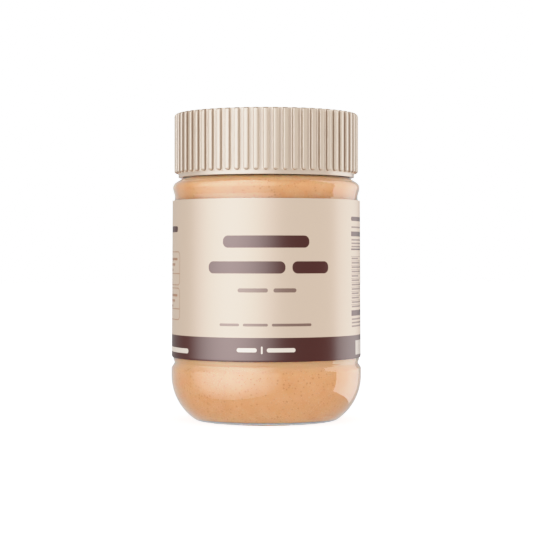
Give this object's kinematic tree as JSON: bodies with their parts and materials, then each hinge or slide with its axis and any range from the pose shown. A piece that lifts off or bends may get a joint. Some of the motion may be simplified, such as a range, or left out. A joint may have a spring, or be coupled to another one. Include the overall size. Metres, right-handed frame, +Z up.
{
  "type": "peanut butter jar",
  "caption": "Shut clear jar full of peanut butter, with a plain wrap-round label, a waisted shoulder, a round heel and a ribbed screw cap.",
  "frame": {"origin": "middle of the foot ring's plane, on the jar's axis", "axes": "+Z up along the jar's axis, -Y towards the middle of the label's front, +X to the right as seen from the front"},
  "size_m": [0.072, 0.072, 0.1157],
  "materials": {
    "clear_pet": "clear, polished",
    "peanut_butter": "smooth paste with fine specks",
    "label": "satin, beige with a dark brown band",
    "cap_plastic": "satin moulded, beige"
  },
  "bodies": {
    "root": {"jar": "clear_pet", "peanut_butter": "peanut_butter", "label": "label", "cap": "cap_plastic"}
  },
  "joints": []
}
